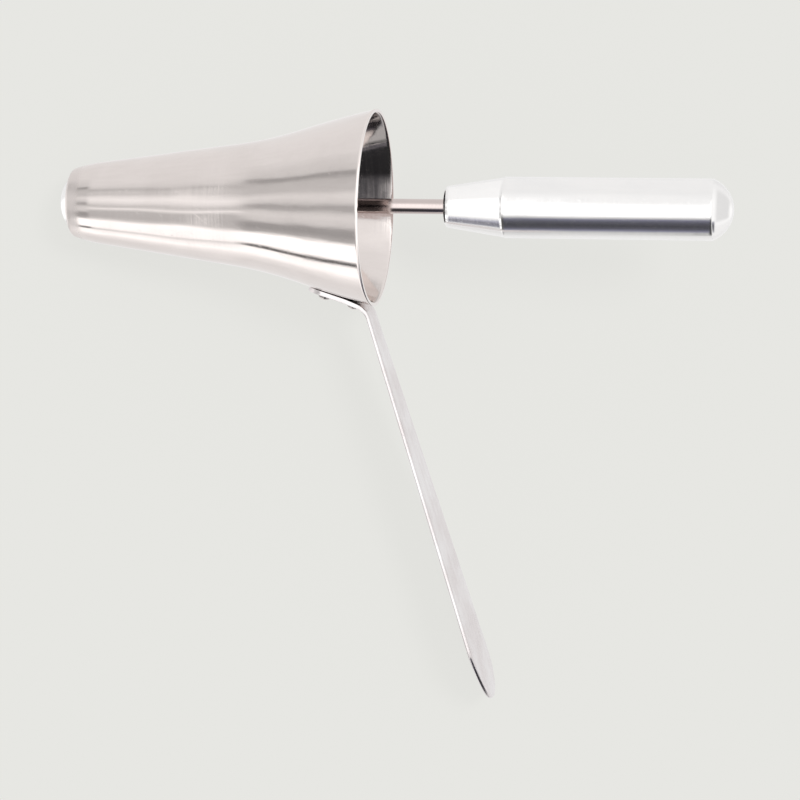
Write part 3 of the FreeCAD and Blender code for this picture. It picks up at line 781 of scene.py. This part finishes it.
for name, station, seed in RIVETS:
    rivet = lathed(name + "_closed", rivet_outline(station), rivet_place(station, seed), "speculum",
                   MATERIALS[name], around=RIVET_AROUND)
    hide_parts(name)
    # Painted shade on the rivet: darkest in the crevice under the head, less towards the head's middle
    rivet_shade = rivet.data.attributes.new("shade", "FLOAT", "POINT")
    middle = on_foot(station, 0.0, 0.0)
    outward = middle - on_foot(station, 1.0, 0.0)
    outward.normalize()
    for vertex in rivet.data.vertices:
        offset = (vertex.co - middle) * MM_PER_METRE
        rise = offset.dot(outward) - THICKNESS
        beside = (offset - outward * offset.dot(outward)).length
        crevice = 1 - eased_share(rise, *CREVICE)
        edge = eased_share(beside, *HEAD_EDGE)
        rivet_shade.data[vertex.index].value = max(crevice, EDGE_SHADE * edge)

# The studio's light in the metal. Each tent gives the brightness by the bearing, in degrees, of a
# surface that mirrors it to a viewer straight above; which tent is met goes by that surface's slope.
# A brightness under DARK takes a tint
BRIGHTEST = 2.0
DARK = 0.5
NOSE_TENT = [
    (-90, 0.75), (-60, 0.95), (-50, 1.0), (-42, 0.45), (-36, 1.15), (8, 1.2), (14, 0.95), (50, 0.9),
    (75, 0.7), (90, 0.6),
]
RING_TENT = [
    (-90, 1.05), (-48, 1.05), (-40, 0.85), (-31, 0.45), (-22, 0.42), (-14, 0.7), (-8, 0.78), (16, 0.78),
    (23, 0.5), (29, 0.5), (35, 0.86), (90, 0.95),
]
FLARE_TENT = [
    (-90, 0.92), (-57, 0.93), (-51, 1.10), (-46, 1.5), (-40.3, 1.4), (-38.8, 0.15), (-37.4, 0.15),
    (-35.6, 1.4), (-34, 1.6), (-25.5, 1.6), (-22.6, 0.56), (-19, 0.42), (-15.7, 0.44), (-13, 0.80),
    (-9, 0.90), (-6.5, 0.82), (-4, 0.54), (-1.5, 0.50), (1, 0.82), (5.5, 0.95), (9.5, 0.70), (16, 0.68),
    (18.9, 0.44), (20.3, 0.44), (22, 0.78), (29, 0.84), (35, 0.93), (90, 0.97),
]
CONE_TENT = [
    (-90, 0.97), (-58, 1.0), (-52, 1.15), (-47, 1.5), (-42, 1.3), (-39, 0.95), (-37, 1.4), (-26, 1.5),
    (-22, 0.74), (-19, 0.62), (-12, 0.64), (-10.3, 0.85), (-8.5, 1.12), (-7, 0.85), (-5, 0.72), (-1, 1.0),
    (3, 1.14), (6.5, 1.0), (9.5, 0.76), (12, 0.76), (15.5, 0.62), (19, 0.84), (24, 0.92), (90, 0.97),
]
TAPER_TENT = [
    (-90, 0.92), (-58, 0.86), (-51, 1.0), (-47, 0.9), (-43, 0.26), (-36, 0.20), (-31, 0.45), (-26, 0.95),
    (-20, 1.5), (13, 1.5), (19, 1.08), (50, 1.04), (90, 1.0),
]
ROD_TENT = [
    (-90, 1.1), (-64, 0.65), (-52, 0.28), (-42, 0.10), (-30, 0.04), (-24, 0.08), (-20, 0.35), (-15, 0.9),
    (-11, 1.6), (9, 1.75), (15, 1.5), (20, 1.15), (26, 0.98), (35, 0.93), (90, 0.95),
]
CYLINDER_TENT = [
    (-90, 1.0), (-70, 0.92), (-61, 0.80), (-53, 0.66), (-47, 0.22), (-43, 0.08), (-36, 0.03), (-30, 0.06),
    (-25.5, 0.11), (-22.5, 0.22), (-20, 0.6), (-17.5, 1.0), (-15, 1.4), (3, 1.5), (7, 1.1), (11, 1.01),
    (22, 1.01), (30, 0.96), (90, 0.97),
]
EDGE_TENT = [
    (-90, 0.9), (-62, 0.9), (-54, 0.05), (-22, 0.03), (-14, 1.1), (-10, 1.6), (9, 1.6), (20, 1.0),
    (90, 0.95),
]
MOUTH_TENT = [
    (-90, 0.06), (-72, 0.08), (-65, 0.26), (-59, 0.5), (-49.5, 0.5), (-46.5, 0.03), (-24, 0.02),
    (-19, 0.07), (0, 0.10), (3, 0.45), (7, 1.0), (20, 1.06), (30, 0.95), (47, 0.93), (54, 0.70), (64, 0.52),
    (74, 0.36), (90, 0.36),
]
SHOULDER_TENT = [
    (-90, 0.05), (-82, 0.1), (-73, 0.85), (-62, 0.98), (-53, 0.95), (-49, 0.25), (-44, 0.10), (-32, 0.08),
    (-27, 0.3), (-23, 1.12), (15, 1.14), (32, 1.05), (60, 0.95), (75, 0.8), (90, 0.7),
]
DOME_TENT = [
    (-90, 0.05), (-82, 0.1), (-73, 0.85), (-62, 0.98), (-52, 0.98), (-40, 1.0), (-28, 1.12), (15, 1.14),
    (32, 1.05), (60, 0.95), (75, 0.8), (90, 0.7),
]


def tent(tree, bearing, stops, tint=1.0):
    """A ramp over the bearing; tint is how much more blue than red its dark parts hold."""
    places = []
    for angle, brightness in stops:
        level = brightness / BRIGHTEST
        blue = level * tint if brightness < DARK else level
        places.append(((angle + 90) / 180, (level, level, blue)))
    return tree.ramp(bearing, places)


# Each further tent: the slopes between which it comes in, its stops and its tint
LAYERS = [
    (-0.56, -0.46, RING_TENT, 1.0),
    (-0.345, -0.325, FLARE_TENT, 1.0),
    (-0.232, -0.190, CONE_TENT, 1.0),
    (-0.160, -0.145, TAPER_TENT, 1.2),
    (-0.09, -0.05, ROD_TENT, 1.0),
    (0.013, 0.021, CYLINDER_TENT, 1.4),
    (0.10, 0.12, EDGE_TENT, 1.0),
    (0.235, 0.248, MOUTH_TENT, 1.1),
    (0.285, 0.32, SHOULDER_TENT, 1.2),
    (0.52, 0.575, DOME_TENT, 1.0),
]

# A pale patch lies between two slopes and two bearings
PATCH_LEVEL = 0.85
PATCH_STEEP = (0.52, 0.62)
PATCH_STEEPEST = (0.95, 0.88)
PATCH_FIRST = (0.32, 0.38)
PATCH_LAST = (0.80, 0.70)

# Directions that point down meet the table, except from a surface that faces the tip
TABLE_LEVEL = 0.93
TABLE_HEIGHT = (-0.8, -0.6)
TABLE_SLOPE = (-0.6, -0.4)

world = bpy.data.worlds.new("studio")
scene.world = world
world.use_nodes = True
tree = Tree(world.node_tree)
direction = tree.add("ShaderNodeTexCoord").outputs["Generated"]
half = tree.add("ShaderNodeVectorMath", {0: direction, 1: (0.0, 0.0, 1.0)}, operation="ADD").outputs[0]
half = tree.add("ShaderNodeVectorMath", {0: half}, operation="NORMALIZE").outputs[0]
slope = tree.dot(half, ALONG)
angle = tree.math("ARCTAN2", tree.dot(half, (0.0, 1.0, 0.0)), tree.dot(half, SKYWARD))
bearing = tree.math("MULTIPLY_ADD", angle, 1 / math.pi, 0.5)
seen = tent(tree, bearing, NOSE_TENT)
for low, high, stops, tint in LAYERS:
    seen = tree.blend(tree.spread(slope, low, high), seen, tent(tree, bearing, stops, tint))
patch = tree.spread(slope, *PATCH_STEEP)
for value, limits in ((slope, PATCH_STEEPEST), (bearing, PATCH_FIRST), (bearing, PATCH_LAST)):
    patch = tree.math("MULTIPLY", patch, tree.spread(value, *limits))
grey = PATCH_LEVEL / BRIGHTEST
seen = tree.blend(patch, seen, (grey, grey, grey, 1.0))
table = TABLE_LEVEL / BRIGHTEST
height = tree.dot(direction, (0.0, 0.0, 1.0))
below = tree.math("SUBTRACT", 1.0, tree.spread(height, *TABLE_HEIGHT))
below = tree.math("MULTIPLY", below, tree.spread(slope, *TABLE_SLOPE))
seen = tree.blend(below, seen, (table, table, table, 1.0))
reflected = tree.add("ShaderNodeBackground", {"Color": seen, "Strength": BRIGHTEST})
even = tree.add("ShaderNodeBackground", {"Color": (1.0, 1.0, 1.0, 1.0), "Strength": WORLD_SHARE})
plain = tree.add("ShaderNodeBackground", {"Color": (*FLOOR_COLOUR, 1.0), "Strength": 1.0})
path = tree.add("ShaderNodeLightPath").outputs
lit = tree.mix(path["Is Glossy Ray"], even, reflected)
shown = tree.mix(path["Is Camera Ray"], lit, plain)
tree.add("ShaderNodeOutputWorld", {"Surface": shown.outputs[0]})

# A broad lamp from the upper right gives the soft shadow
sun_data = bpy.data.lights.new("soft_key", "SUN")
sun_data.angle = math.radians(SUN_ANGLE)
sun_data.energy = SUN_SHARE * math.pi / SUN_FROM.normalized().z
sun = bpy.data.objects.new("soft_key", sun_data)
sun.rotation_euler = SUN_FROM.to_track_quat("Z", "Y").to_euler()
sun.visible_glossy = False
scene.collection.objects.link(sun)

# The floor
floor_material = bpy.data.materials.new("floor_paper")
floor_material.use_nodes = True
tree = Tree(floor_material.node_tree)
paper = tree.add("ShaderNodeBsdfDiffuse", {"Color": (*FLOOR_COLOUR, 1.0)})
even = tree.add("ShaderNodeEmission", {"Color": (*FLOOR_COLOUR, 1.0), "Strength": 1.0})
camera_ray = tree.add("ShaderNodeLightPath").outputs["Is Camera Ray"]
share = tree.math("MULTIPLY", camera_ray, 1.0 - SHADOW_SHARE)
shown = tree.mix(share, paper, even)
tree.add("ShaderNodeOutputMaterial", {"Surface": shown.outputs[0]})
floor_mesh = bpy.data.meshes.new("floor")
reach = FLOOR_SIZE / 2
corners = [(-reach, -reach, 0), (reach, -reach, 0), (reach, reach, 0), (-reach, reach, 0)]
floor_mesh.from_pydata(corners, [], [(0, 1, 2, 3)])
floor_mesh.materials.append(floor_material)
floor = bpy.data.objects.new("floor", floor_mesh)
floor.visible_glossy = False
scene.collection.objects.link(floor)

# The camera
turn = Matrix.Rotation(math.radians(CAMERA_TILT_X), 3, "X")
turn = turn @ Matrix.Rotation(math.radians(CAMERA_TILT_Y), 3, "Y")
turn = turn @ Matrix.Rotation(math.radians(CAMERA_TURN), 3, "Z")
facing = turn.transposed()
camera_data = bpy.data.cameras.new("camera")
camera_data.lens = LENS
camera_data.sensor_width = SENSOR
camera_data.clip_start = CLIP_START
camera_data.clip_end = CLIP_END
camera = bpy.data.objects.new("camera", camera_data)
camera.location = CAMERA_TARGET + facing @ Vector((0.0, 0.0, CAMERA_DISTANCE))
camera.rotation_euler = facing.to_euler()
scene.collection.objects.link(camera)
scene.camera = camera

scene.view_settings.view_transform = "Standard"

bpy.context.view_layer.update()
